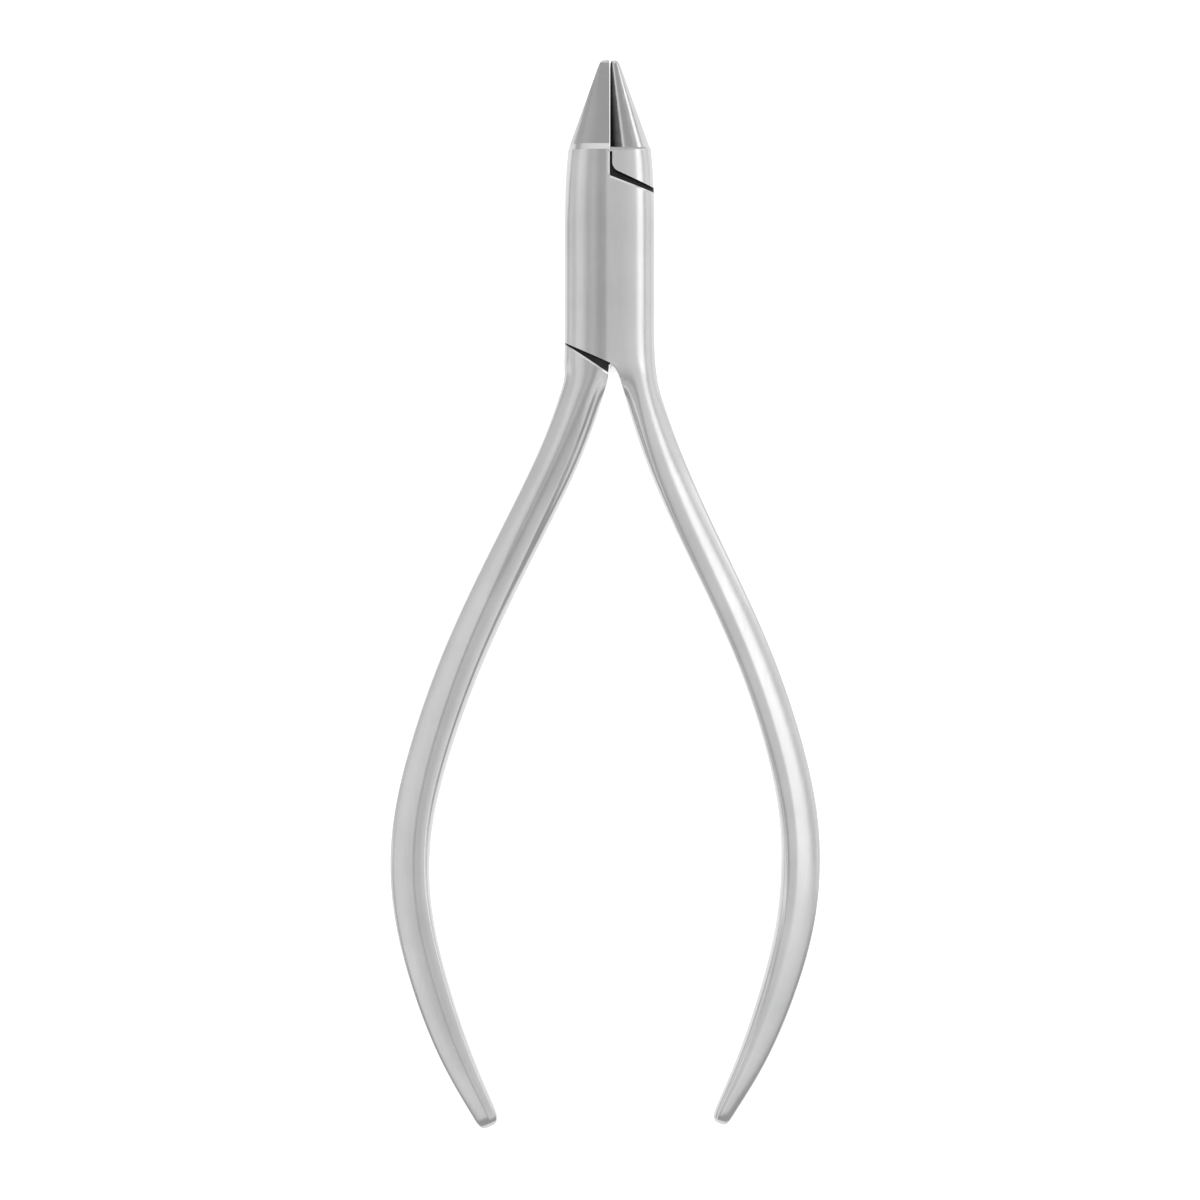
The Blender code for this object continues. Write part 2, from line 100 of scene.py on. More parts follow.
def joint_block(name):
    """The whole joint as a bar with numbered lines, drawn up from the crotch to the foot of the beaks."""
    bpy.ops.object.select_all(action="DESELECT")
    bpy.ops.mesh.primitive_circle_add(
        vertices=24,
        radius=HALF_WIDTH,
        fill_type="NGON",
        location=(0, -CROTCH, MIDDLE),
        rotation=(math.pi / 2, 0, 0),
    )
    bar = bpy.context.active_object
    bar.name = name
    bpy.ops.object.transform_apply()
    bpy.ops.object.mode_set(mode="EDIT")
    bpy.ops.mesh.select_mode(type="FACE")
    bpy.ops.mesh.select_all(action="SELECT")
    mesh = bmesh.from_edit_mesh(bar.data)
    line = mesh.verts.layers.int.new("line")
    for i, corner in enumerate(mesh.verts):
        corner[line] = i
    set_corners(bar, block_places(-CROTCH))
    for y in (-9.0, -5.0, 0.0, 5.0, 8.0, 11.0, 13.2, BEAK_BASE / MM):
        bpy.ops.mesh.extrude_region_move()
        set_corners(bar, block_places(y * MM))
    return bar


def split_end(bar, y):
    """Parts the block's end face into two columns, with a corner in the middle of the wall between them."""
    bpy.ops.mesh.select_mode(type="VERT")
    bpy.ops.mesh.select_all(action="DESELECT")
    mesh = bmesh.from_edit_mesh(bar.data)
    line = mesh.verts.layers.int["line"]
    for corner in mesh.verts:
        corner.select_set(corner[line] in (0, 12) and abs(corner.co.y - y) < 1e-6)
    bpy.ops.mesh.vert_connect_path()
    bpy.ops.mesh.subdivide(number_cuts=1)
    mesh = bmesh.from_edit_mesh(bar.data)
    line = mesh.verts.layers.int["line"]
    for corner in mesh.verts:
        if abs(corner.co.y - y) < 1e-6 and abs(corner.co.z - MIDDLE) < 1e-6 and abs(corner.co.x) < 1e-6:
            corner[line] = 24
    bmesh.update_edit_mesh(bar.data)
    bpy.ops.mesh.select_mode(type="FACE")


def pick_end(bar, y, side):
    """Selects one column's end face."""
    bpy.ops.mesh.select_all(action="DESELECT")
    mesh = bmesh.from_edit_mesh(bar.data)
    for face in mesh.faces:
        flat = all(abs(corner.co.y - y) < 1e-6 for corner in face.verts)
        face.select_set(flat and len(face.verts) == 14 and face.calc_center_median().x * side > 0)
    bmesh.update_edit_mesh(bar.data)


def draw_out(bar, places):
    """Draws the selected end out to its lines' new places."""
    bpy.ops.mesh.extrude_region_move()
    set_corners(bar, places)


def lay_out(side, section, centre, outward=(1, 0)):
    """A column's section as places of its lines.

    The centre and the outward direction are in plan, as on the right side.
    """
    lines = LEFT_LINES if side < 0 else RIGHT_LINES
    return {
        line: Vector((side * (centre[0] + u * outward[0]), centre[1] + u * outward[1], MIDDLE + z))
        for line, (u, z) in zip(lines, section)
    }


def spare_length(bar, y, side, length):
    """Draws a column straight on, beyond where it will be milled off."""
    pick_end(bar, y, side)
    straight = [(u * half_width(y) / HALF_WIDTH, z) for u, z in column(side)]
    for part in (0.5, 1):
        draw_out(bar, lay_out(side, straight, (0, y + length * part)))


HANDLE_BLEND = 16 * MM
LEDGE_BLEND = 5 * MM
HANDLE_DEPTH = 6.2 * MM
HANDLE_END_DEPTH = 4.4 * MM
HANDLE_NOSE = 2.2 * MM
NOSE_SWELL = 1.08
NOSE_STATIONS = [(0.6, 0.94), (0.93, 0.7), (1.03, 0.36)]

# Control points of the handle's section as shares of its width and of half its depth. Its inner edge is a
# stepped ledge, a bevel or plainly rounded, and its flat front ends at a ridge, from where the crown falls
# outwards.
STEP = [(0.0, 0.87), (0.185, 0.92), (0.235, 1.02)]
BEVEL = [(0.0, 0.66), (0.06, 0.90), (0.14, 1.02)]
ROUNDED = [(0.0, 0.86), (0.02, 0.98), (0.07, 1.02)]
HANDLE_BACK = [(1.0, -0.6), (0.74, -0.95), (0.44, -1.0), (0.16, -0.93), (0.0, -0.6)]
HANDLE_INNER, HANDLE_OUTER = -0.02, 1.01


def handle_section(width, depth, bevel, step, ridge, crown):
    """The handle's section as (out, up) points, with its inner edge mixed from the three kinds."""
    inner = [(a + (c - a) * bevel, b + (d - b) * bevel) for (a, b), (c, d) in zip(ROUNDED, BEVEL)]
    inner = [(a + (c - a) * step, b + (d - b) * step) for (a, b), (c, d) in zip(inner, STEP)]
    outer = [(ridge * 0.7, 1.02), (ridge, 1.02), (ridge + 0.54 * (1 - ridge), crown), (1.0, 0.68)]
    shares = [(HANDLE_INNER, 0), *inner, *outer, (HANDLE_OUTER, 0), *HANDLE_BACK]
    return [(u * width, z * depth / 2) for u, z in shares]


def value_at(down, places):
    """A value read off between places of (share of the handle's length, value)."""
    value = places[0][1]
    for (start, first), (end, last) in zip(places, places[1:]):
        value += (last - first) * min(max((down - start) / (end - start), 0.0), 1.0)
    return value


def blend_section(joint, grip, blend, ledge_blend):
    """A section between the joint's and the grip's.

    Its inner ledge, corners 1 to 3, blends at its own rate.
    """
    section = [(a + (c - a) * blend, b + (d - b) * blend) for (a, b), (c, d) in zip(joint, grip)]
    front_height = section[4][1]
    for k in (1, 2, 3):
        (a, _), (c, grip_height), height = joint[k], grip[k], section[k][1]
        level = front_height * grip_height / grip[4][1]
        section[k] = (a + (c - a) * ledge_blend, height + (level - height) * ledge_blend)
    return section


def draw_handle(bar, side, length, bow, grip_width, shape, bevel, step, ridge, crown):
    """Draws a handle down from the crotch through stations of (down share, out share, width share).

    Its bevel, step and ridge change along it, as places of (down share, value).
    """
    root = half_width(-CROTCH)
    stations = [Vector((root / 2, CROTCH, root))]
    stations += [Vector((bow * out, CROTCH + length * down, grip_width * wide)) for down, out, wide in shape]
    last = stations[-1]
    heading = (last - stations[-2]).normalized()
    stations[-1] = last - heading * HANDLE_NOSE
    stations[-1].z = last.z * NOSE_SWELL
    stations += [stations[-1] + heading * HANDLE_NOSE * share for share, _ in NOSE_STATIONS]
    nose_start = len(stations) - len(NOSE_STATIONS)
    narrowing = [1] * nose_start + [wide for _, wide in NOSE_STATIONS]
    joint_column = [(u * half_width(-CROTCH) / HALF_WIDTH - root / 2, z) for u, z in column(side)]
    pick_end(bar, -CROTCH, side)
    drawn = 0.0
    for i in range(1, len(stations)):
        before, here = stations[i - 1], stations[i]
        after = stations[min(i + 1, len(stations) - 1)]
        drawn += (here.xy - before.xy).length
        blend = min(drawn / HANDLE_BLEND, 1.0)
        blend = blend * blend * (3 - 2 * blend)
        sag = (before - 2 * here + after) / 6 if i < nose_start - 1 else Vector((0, 0, 0))
        centre = here - sag
        along = (after - before).xy.normalized()
        outward = Vector((1, 0)).lerp(Vector((along.y, along.x)), blend).normalized()
        width = last.z * NOSE_SWELL if i >= nose_start else here.z
        down = (here.y - CROTCH) / length
        depth = HANDLE_DEPTH + (HANDLE_END_DEPTH - HANDLE_DEPTH) * down**2
        width, depth = width * narrowing[i], depth * narrowing[i]
        edges = [value_at(down, places) for places in (bevel, step, ridge)]
        grip = [(u - width / 2, z) for u, z in handle_section(width, depth, *edges, crown)]
        joint = [(u * width / root, z) for u, z in joint_column]
        ledge_blend = max(blend, min(drawn / LEDGE_BLEND, 1.0)) if side < 0 else blend
        section = blend_section(joint, grip, blend, ledge_blend)
        draw_out(bar, lay_out(side, section, (centre.x, -centre.y), (outward.x, outward.y)))


def crease_lines(bar, wanted, low, high, value):
    """Sharpens lines of the bar between two heights along it."""
    bpy.ops.mesh.select_all(action="DESELECT")
    bpy.ops.mesh.select_mode(type="EDGE")
    mesh = bmesh.from_edit_mesh(bar.data)
    line = mesh.verts.layers.int["line"]
    for edge in mesh.edges:
        a, b = edge.verts
        lower, upper = sorted((a.co.y, b.co.y))
        if a[line] == b[line] and a[line] in wanted and low <= lower + 1e-6 and upper <= high + 1e-6:
            edge.select_set(True)
    bmesh.update_edit_mesh(bar.data)
    bpy.ops.transform.edge_crease(value=value)
    bpy.ops.mesh.select_mode(type="FACE")


def finish_bar(bar):
    """Leaves edit mode and rounds the cage into its smooth surface."""
    bar.data.materials.append(satin)
    bpy.ops.mesh.select_all(action="SELECT")
    bpy.ops.mesh.normals_make_consistent(inside=False)
    bpy.ops.object.mode_set(mode="OBJECT")
    smooth = bar.modifiers.new("forged surface", "SUBSURF")
    smooth.levels = smooth.render_levels = 3
    bpy.ops.object.modifier_apply(modifier=smooth.name)


def satin_steel():
    """Satin-ground stainless steel with fine grain along the tool."""
    material = bpy.data.materials.new("satin_steel")
    material.use_nodes = True
    nodes, links = material.node_tree.nodes, material.node_tree.links
    shader = nodes["Principled BSDF"]
    shader.inputs["Metallic"].default_value = 1.0
    place = nodes.new("ShaderNodeTexCoord")
    along = nodes.new("ShaderNodeMapping")
    along.inputs["Scale"].default_value = (4200, 260, 4200)
    links.new(place.outputs["Object"], along.inputs["Vector"])
    grain = nodes.new("ShaderNodeTexNoise")
    grain.inputs["Scale"].default_value = 1.0
    grain.inputs["Detail"].default_value = 4.0
    links.new(along.outputs["Vector"], grain.inputs["Vector"])
    cloud = nodes.new("ShaderNodeTexNoise")
    cloud.inputs["Scale"].default_value = 140.0
    cloud.inputs["Detail"].default_value = 3.0
    links.new(place.outputs["Object"], cloud.inputs["Vector"])
    tone = nodes.new("ShaderNodeValToRGB")
    tone.color_ramp.elements[0].position, tone.color_ramp.elements[1].position = 0.3, 0.7
    tone.color_ramp.elements[0].color = (0.66, 0.66, 0.665, 1)
    tone.color_ramp.elements[1].color = (0.72, 0.72, 0.72, 1)
    links.new(cloud.outputs["Fac"], tone.inputs["Fac"])
    links.new(tone.outputs["Color"], shader.inputs["Base Color"])
    dull = nodes.new("ShaderNodeMapRange")
    dull.inputs["To Min"].default_value, dull.inputs["To Max"].default_value = 0.18, 0.28
    links.new(grain.outputs["Fac"], dull.inputs["Value"])
    links.new(dull.outputs["Result"], shader.inputs["Roughness"])
    bump = nodes.new("ShaderNodeBump")
    bump.inputs["Strength"].default_value = 0.12
    bump.inputs["Distance"].default_value = 0.00002
    links.new(grain.outputs["Fac"], bump.inputs["Height"])
    links.new(bump.outputs["Normal"], shader.inputs["Normal"])
    return material


satin = satin_steel()


def lap_steel_painted_shade():
    """The milled faces inside the joint: the same steel and dull, with painted shade: the base colour is
    made dark so that the milled faces, which lie in the slots and under the other half, read as shaded.
    """
    material = bpy.data.materials.new("lap_steel_painted_shade")
    material.use_nodes = True
    nodes, links = material.node_tree.nodes, material.node_tree.links
    shader = nodes["Principled BSDF"]
    shader.inputs["Metallic"].default_value = 1.0
    place = nodes.new("ShaderNodeTexCoord")
    marks = nodes.new("ShaderNodeTexNoise")
    marks.inputs["Scale"].default_value = 900.0
    marks.inputs["Detail"].default_value = 3.0
    links.new(place.outputs["Object"], marks.inputs["Vector"])
    tone = nodes.new("ShaderNodeValToRGB")
    # Painted shade: a dark base colour that varies a little at random.
    tone.color_ramp.elements[0].color = (0.14, 0.14, 0.145, 1)
    tone.color_ramp.elements[1].color = (0.28, 0.28, 0.285, 1)
    links.new(marks.outputs["Fac"], tone.inputs["Fac"])
    links.new(tone.outputs["Color"], shader.inputs["Base Color"])
    shader.inputs["Roughness"].default_value = 0.55
    return material


# The dark steel of the milled faces, whose darkness is painted shade.
dull = lap_steel_painted_shade()


def prism(name, outline, low, high):
    """An upright milling body with the given corners in plan."""
    bpy.ops.object.select_all(action="DESELECT")
    bpy.ops.mesh.primitive_circle_add(vertices=len(outline), radius=MM, fill_type="NGON", location=(0, 0, 0))
    body = bpy.context.active_object
    body.name = name
    bpy.ops.object.mode_set(mode="EDIT")
    mesh = bmesh.from_edit_mesh(body.data)
    for corner, (x, y) in zip(mesh.verts, outline):
        corner.co = (x, y, low)
    bmesh.update_edit_mesh(body.data)
    bpy.ops.mesh.select_all(action="SELECT")
    bpy.ops.mesh.extrude_region_move(TRANSFORM_OT_translate={"value": (0, 0, high - low)})
    bpy.ops.mesh.select_all(action="SELECT")
    bpy.ops.mesh.normals_make_consistent(inside=False)
    bpy.ops.object.mode_set(mode="OBJECT")
    # The milling body passes the steel with painted shade on to the faces it cuts.
    body.data.materials.append(dull)
    return body


def round_upright(body, x, y, radius):
    """Rounds the upright edge of a milling body that stands at a place in plan."""
    bpy.ops.object.mode_set(mode="EDIT")
    bpy.ops.mesh.select_mode(type="EDGE")
    bpy.ops.mesh.select_all(action="DESELECT")
    mesh = bmesh.from_edit_mesh(body.data)
    for edge in mesh.edges:
        edge.select_set(all((corner.co.xy - Vector((x, y))).length < 1e-6 for corner in edge.verts))
    bmesh.update_edit_mesh(body.data)
    bpy.ops.mesh.bevel(offset=radius, offset_type="OFFSET", segments=6, affect="EDGES")
    bpy.ops.object.mode_set(mode="OBJECT")


def mill(bar, body):
    """Takes a milling body out of the bar and puts it away."""
    bpy.ops.object.select_all(action="DESELECT")
    bpy.context.view_layer.objects.active = bar
    cut = bar.modifiers.new(body.name, "BOOLEAN")
    cut.object = body
    cut.operation = "DIFFERENCE"
    cut.solver = "EXACT"
    cut.material_mode = "TRANSFER"
    bpy.ops.object.modifier_apply(modifier=cut.name)
    bpy.data.objects.remove(body)


UPPER_REACH, UPPER_TURN, UPPER_CLEARANCE = 10.55 * MM, math.radians(24.9), 0.45 * MM
LOWER_REACH, LOWER_TURN, LOWER_CLEARANCE = 10.55 * MM, math.radians(24), 0.05 * MM
LOWER_HANDLE_TURN = math.radians(34)
PLATE_REACH, PLATE_TURN = 10.45 * MM, math.radians(21)
SLOT_CORNER = 0.7 * MM
LAP_GAP = 0.1 * MM
JAW_GAP = 0.02 * MM
JAW_FOOT = 0.3 * MM
CROTCH_GAP = 0.1 * MM
FAR, BELOW, ABOVE = 12 * MM, -5 * MM, 15 * MM
PAST_TIPS, PAST_CROTCH = 40 * MM, -CROTCH - 8 * MM


def slot_line(reach, turn, side, above, u):
    """Height at u of a slot's edge, whose normal leans by turn towards side, above or below the pivot."""
    return above * (reach - side * u * math.sin(turn)) / math.cos(turn)


def swing(reach, turn):
    """How far from the pivot the corner swings where a slot's edge meets the joint's side."""
    return math.hypot(HALF_WIDTH, slot_line(reach, turn, 1, 1, HALF_WIDTH))


def mill_lap(bar, beak_side, is_front, jaw):
    """Mills one half out of its blank: one plate, its own beak and its own handle stay."""
    beak_edge = swing(UPPER_REACH, UPPER_TURN) + UPPER_CLEARANCE
    handle_edge = swing(LOWER_REACH, LOWER_TURN) + LOWER_CLEARANCE
    crotch = -CROTCH_GAP

    def at(u, y):
        return beak_side * u, y

    corner = slot_line(beak_edge, UPPER_TURN, 1, 1, jaw)
    plate_space = [
        (jaw, BEAK_BASE - JAW_FOOT),
        (jaw, corner),
        (FAR, slot_line(beak_edge, UPPER_TURN, 1, 1, FAR)),
        (FAR, PAST_CROTCH),
        (crotch, PAST_CROTCH),
        (crotch, slot_line(handle_edge, LOWER_HANDLE_TURN, -1, -1, crotch)),
        (-FAR, slot_line(handle_edge, LOWER_HANDLE_TURN, -1, -1, -FAR)),
        (-FAR, BEAK_BASE - JAW_FOOT),
    ]
    low, high = (BELOW, MIDDLE + LAP_GAP / 2) if is_front else (MIDDLE - LAP_GAP / 2, ABOVE)
    body = prism("other plate", [at(*p) for p in plate_space], low, high)
    round_upright(body, *at(jaw, corner), SLOT_CORNER)
    mill(bar, body)

    beak_space = [
        (JAW_GAP, PAST_TIPS),
        (JAW_GAP, slot_line(PLATE_REACH, PLATE_TURN, -1, 1, JAW_GAP)),
        (-FAR, slot_line(PLATE_REACH, PLATE_TURN, -1, 1, -FAR)),
        (-FAR, PAST_TIPS),
    ]
    mill(bar, prism("other beak", [at(*p) for p in beak_space], BELOW, ABOVE))

    # This wall stands a hair off the first one, so that no two milled walls share a plane.
    crotch += 0.01 * MM
    handle_space = [
        (crotch, slot_line(LOWER_REACH, LOWER_TURN, 1, -1, crotch)),
        (FAR, slot_line(LOWER_REACH, LOWER_TURN, 1, -1, FAR)),
        (FAR, PAST_CROTCH),
        (crotch, PAST_CROTCH),
    ]
    mill(bar, prism("other handle", [at(*p) for p in handle_space], BELOW, ABOVE))


# The bore as (height, radius) in mm. It narrows to the thread's hole in the gap between the two plates.
SEAT_RADIUS, JOURNAL_HOLE_RADIUS, THREAD_RADIUS = 3.05, 2.1, 1.5
BORE_STATIONS = (
    (0.5, SEAT_RADIUS),
    (1.45, JOURNAL_HOLE_RADIUS),
    (4.3, JOURNAL_HOLE_RADIUS),
    (4.3, THREAD_RADIUS),
    (7.05, THREAD_RADIUS),
)


def mill_bore(bar):
    """Turns out the screw's seat, its journal's hole and the hole for its thread."""
    bpy.ops.object.select_all(action="DESELECT")
    bpy.ops.mesh.primitive_circle_add(
        vertices=64, radius=SEAT_RADIUS * MM, fill_type="NGON", location=(0, 0, -MM)
    )
    bore = bpy.context.active_object
    bore.name = "bore"
    bpy.ops.object.transform_apply()
    bpy.ops.object.mode_set(mode="EDIT")
    bpy.ops.mesh.select_all(action="SELECT")
    last_z, last_radius = -1.0, SEAT_RADIUS
    for z, radius in BORE_STATIONS:
        bpy.ops.mesh.extrude_region_move(TRANSFORM_OT_translate={"value": (0, 0, (z - last_z) * MM)})
        share = radius / last_radius
        bpy.ops.transform.resize(value=(share, share, 1), center_override=(0, 0, z * MM))
        last_z, last_radius = z, radius
    bpy.ops.mesh.select_all(action="SELECT")
    bpy.ops.mesh.normals_make_consistent(inside=False)
    bpy.ops.object.mode_set(mode="OBJECT")
    # The bore's walls also take the steel with painted shade.
    bore.data.materials.append(dull)
    mill(bar, bore)


BAR_ACROSS, BAR_UP = 0.27 * MM, 0.15 * MM


def file_edge(bar, name, places, into, beyond):
    """Breaks a sharp upper edge: a four-cornered bar is laid along it and taken out.

    `into` points into the metal, and the bar runs past the two ends by the lengths in `beyond`.
    """
    across, up = Vector((*into, 0)).normalized() * BAR_ACROSS, Vector((0, 0, BAR_UP))
    stations = []
    for x, y in places:
        found, top, _, _ = bar.ray_cast(Vector((x, y, 20 * MM)) + across * 0.15, Vector((0, 0, -1)))
        assert found, name
        stations.append(Vector((x, y, top.z)) - across * 0.12)
    first, last = stations[0] - stations[1], stations[-1] - stations[-2]
    stations.insert(0, stations[0] + first.normalized() * beyond[0] * MM)
    stations.append(stations[-1] + last.normalized() * beyond[1] * MM)
    bpy.ops.object.select_all(action="DESELECT")
    bpy.ops.mesh.primitive_circle_add(vertices=4, radius=MM, fill_type="NGON", location=(0, 0, 0))
    body = bpy.context.active_object
    body.name = name
    bpy.ops.object.mode_set(mode="EDIT")
    bpy.ops.mesh.select_mode(type="FACE")
    mesh = bmesh.from_edit_mesh(body.data)
    line = mesh.verts.layers.int.new("line")
    for i, corner in enumerate(mesh.verts):
        corner[line] = i
    for i, station in enumerate(stations):
        if i:
            bpy.ops.mesh.extrude_region_move()
        set_corners(body, [station + turn for turn in (across, up, -across, -up)])
    bpy.ops.mesh.select_all(action="SELECT")
    bpy.ops.mesh.normals_make_consistent(inside=False)
    if bmesh.from_edit_mesh(body.data).calc_volume(signed=True) < 0:
        bpy.ops.mesh.flip_normals()
    bpy.ops.object.mode_set(mode="OBJECT")
    body.data.materials.append(satin)
    mill(bar, body)


def dress(bar, body, node):
    """Smooths the finished half and sets it on its body in place of its CAD node."""
    bpy.ops.object.select_all(action="DESELECT")
    bar.select_set(True)
    bpy.context.view_layer.objects.active = bar
    bpy.ops.object.shade_smooth_by_angle(angle=math.radians(24))
    bar.data.attributes.remove(bar.data.attributes["line"])
    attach(bar, body)
    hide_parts(node)


BROKEN_EDGE = 0.22
CONE_INNER = 0.06 * MM
FOOT = half_width(BEAK_BASE)


def cone_section(outer, share=1.0):
    """The cone beak's round section.

    Its control points are set out so that the smooth surface meets the radius.
    """
    middle = (CONE_INNER + outer) / 2
    radius = (outer - CONE_INNER) / 2 / 0.967 * share
    turns = [math.pi - k * math.tau / 14 for k in range(14)]
    return [(middle + radius * math.cos(turn), radius * math.sin(turn)) for turn in turns]


# Rises above the beak's base in mm, each with the share of the cone's width that it keeps.
CONE_STATIONS = ((BROKEN_EDGE, 1), (0.45, 1), (5.0, 1), (10.0, 1), (10.7, 0.95), (11.02, 0.7), (11.08, 0.35))

# Stations of the handle as (down share, out share, width share), and how its bevel, step and ridge change.
LEFT_HANDLE = [
    (0.011, 0.117, 1.125),
    (0.024, 0.121, 1.120),
    (0.049, 0.149, 1.100),
    (0.125, 0.254, 1.078),
    (0.233, 0.457, 1.048),
    (0.390, 0.745, 1.060),
    (0.547, 0.944, 1.018),
    (0.652, 1.000, 1.000),
    (0.756, 0.962, 0.962),
    (0.887, 0.806, 0.863),
    (1.000, 0.598, 0.560),
]
LEFT_WAYS = [(0.52, 1), (0.76, 0)], [(0.17, 1), (0.31, 0)], [(0.12, 0.6), (0.65, 0.38)]

rear = joint_block("rear_half_forging")
split_end(rear, BEAK_BASE)
spare_length(rear, BEAK_BASE, -1, 5 * MM)
pick_end(rear, BEAK_BASE, 1)
bpy.ops.transform.edge_crease(value=0.85)
foot_face = [(u * FOOT / HALF_WIDTH, z * 0.96) for u, z in column(1)]
draw_out(rear, lay_out(1, foot_face, (0, BEAK_BASE + BROKEN_EDGE * MM)))
bpy.ops.transform.edge_crease(value=0.85)
for rise, share in CONE_STATIONS:
    outer = FOOT + (TIP_WIDTH - FOOT) * (rise * MM / BEAK_LENGTH)
    draw_out(rear, lay_out(1, cone_section(outer, share), (0, BEAK_BASE + rise * MM)))
    if rise == BROKEN_EDGE:
        bpy.ops.transform.edge_crease(value=0.9)
split_end(rear, -CROTCH)
spare_length(rear, -CROTCH, 1, -6 * MM)
draw_handle(rear, -1, 93.2 * MM, 24.32 * MM, 4.75 * MM, LEFT_HANDLE, *LEFT_WAYS, 0.865)
crease_lines(rear, (0, 12), -CROTCH - 4 * MM, -CROTCH, 0.8)
crease_lines(rear, (0, 12), -CROTCH - 10 * MM, -CROTCH - 2 * MM, 0.4)
crease_lines(rear, (0, 12), BEAK_BASE - 2 * MM, BEAK_BASE + 0.3 * MM, 1)
crease_lines(rear, (1,), -CROTCH, BEAK_BASE, 0.25)
crease_lines(rear, (1, 2), -0.045, -CROTCH - 3 * MM, 0.5)
SIDE_CREASES = ((-1, 0.008, 0.4), (0.008, 0.011, 0.25), (0.011, 0.0132, 0.12))
for low, high, value in SIDE_CREASES:
    crease_lines(rear, (6, 18), low, high, value)
crease_lines(rear, (4,), -1, -CROTCH - 16 * MM, 0.7)
finish_bar(rear)
mill_lap(rear, 1, False, 0.32 * MM)
shoulder_reach = swing(LOWER_REACH, LOWER_TURN) + LOWER_CLEARANCE
shoulder = [
    (x * MM, slot_line(shoulder_reach, LOWER_HANDLE_TURN, -1, -1, x * MM))
    for x in (-5.3, -5.0, -4.6, -4.0, -3.2, -2.4, -1.6, -0.8, -0.2)
]
file_edge(rear, "shoulder edge", shoulder, (-0.56, -0.829), (0.5, 0.2))
mill_bore(rear)
dress(rear, "rear", "rear_half")


# Front half: one stainless steel forging with the flat-sided pyramid beak, the front plate of the joint and
# the right handle. It is the same block, drawn out on the other sides and milled from behind.

# Stations of the handle as (down share, out share, width share), and how its bevel, step and ridge change.
RIGHT_HANDLE = [
    (0.011, 0.141, 1.000),
    (0.024, 0.155, 0.945),
    (0.049, 0.182, 0.900),
    (0.125, 0.284, 0.941),
    (0.234, 0.475, 0.916),
    (0.391, 0.770, 0.914),
    (0.550, 0.961, 0.950),
    (0.655, 1.000, 1.000),
    (0.760, 0.959, 0.965),
    (0.891, 0.790, 0.795),
    (1.000, 0.574, 0.460),
]
RIGHT_WAYS = (
    [(0.08, 1), (0.16, 0), (0.45, 0), (0.85, 1)],
    [(0.6, 0), (0.85, 1)],
    [(0.12, 0.5), (0.31, 0.38)],
)

BEAK_STEP = 0.7
STEP_SHARE = 0.9
TIP_HEIGHT = 0.55
JAW_SPARE = -0.06 * MM

# Rises above the beak's base in mm, each with the share of the pyramid's width and depth that it keeps.
PYRAMID_STATIONS = (
    (BEAK_STEP, 1),
    (1.0, 1),
    (5.0, 1),
    (10.2, 1),
    (10.8, 0.97),
    (11.05, 0.8),
    (11.1, 0.5),
)


def pyramid_section(width, share):
    """The flat beak's section: at its foot it follows the block's face, a step lower, and its tip is flat.

    It has spare metal on the inner side, which is milled off with the other half's room.
    """
    front = [(u / FACE_WIDTH * width, z * STEP_SHARE) for u, z in LEFT_FACE]
    back = [(u / FACE_WIDTH * width, -z * STEP_SHARE) for u, z in reversed(BACK_FACE)]
    jaw = FACE_HEIGHT * STEP_SHARE
    front, back = [
        [(u, z * (1 - share) * MM + math.copysign(TIP_HEIGHT, z) * share * MM) for u, z in face]
        for face in ([(JAW_SPARE, jaw), *front], [*back, (JAW_SPARE, -jaw)])
    ]
    return [(JAW_SPARE, 0), *front, (width, 0), *back]


front = joint_block("front_half_forging")
split_end(front, BEAK_BASE)
spare_length(front, BEAK_BASE, 1, 5 * MM)
pick_end(front, BEAK_BASE, -1)
bpy.ops.transform.edge_crease(value=1)
for rise, share in PYRAMID_STATIONS:
    width = FOOT + (TIP_WIDTH - FOOT) * (rise * MM / BEAK_LENGTH)
    to_tip = (rise - BEAK_STEP) * MM / (BEAK_LENGTH - BEAK_STEP * MM)
    section = [(u, z * share) for u, z in pyramid_section(width * share, to_tip)]
    draw_out(front, lay_out(-1, section, (0, BEAK_BASE + rise * MM)))
    if rise == BEAK_STEP:
        bpy.ops.transform.edge_crease(value=1)
split_end(front, -CROTCH)
spare_length(front, -CROTCH, -1, -6 * MM)
draw_handle(front, 1, 92.8 * MM, 23.25 * MM, 4.76 * MM, RIGHT_HANDLE, *RIGHT_WAYS, 0.89)
crease_lines(front, (0, 12), BEAK_BASE, 1, 0.9)
crease_lines(front, (6, 8), BEAK_BASE + 0.5 * MM, 1, 0.9)
crease_lines(front, (0, 12), -CROTCH - 4 * MM, -CROTCH, 0.8)
crease_lines(front, (0, 12), -CROTCH - 10 * MM, -CROTCH - 2 * MM, 0.4)
crease_lines(front, (1,), -CROTCH - 6 * MM, BEAK_BASE, 0.25)
for low, high, value in SIDE_CREASES:
    crease_lines(front, (6, 18), low, high, value)
crease_lines(front, (22, 23), -1, -0.07, 0.45)
crease_lines(front, (20,), -1, -CROTCH - 16 * MM, 0.35)
finish_bar(front)
mill_lap(front, -1, True, JAW_GAP)
plate_edge = [
    (x * MM, slot_line(PLATE_REACH, PLATE_TURN, -1, 1, -x * MM))
    for x in (0.2, 0.9, 1.7, 2.5, 3.3, 4.0, 4.6, 5.0, 5.3)
]
file_edge(front, "plate edge", plate_edge, (-0.36, -0.934), (0.15, 0.5))
file_edge(front, "jaw edge", [(-JAW_GAP, y * MM) for y in (11.5, 12.8, 14.1)], (-1, 0), (0.15, 0.15))
mill_bore(front)
dress(front, "front", "front_half")


# Pivot screw: a turned stainless steel screw that goes in from the back and holds the two halves together.
# Its head is ground flush with the back. Its CAD shape is kept and gets the steel of the two halves.

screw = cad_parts["pivot_screw"]
screw.data.materials.clear()
screw.data.materials.append(satin)


# Table: a plain white board under the tool, far wider than the view. It is a little brighter than the light
# makes it, as a board on a light table, and doesn't show in the steel.

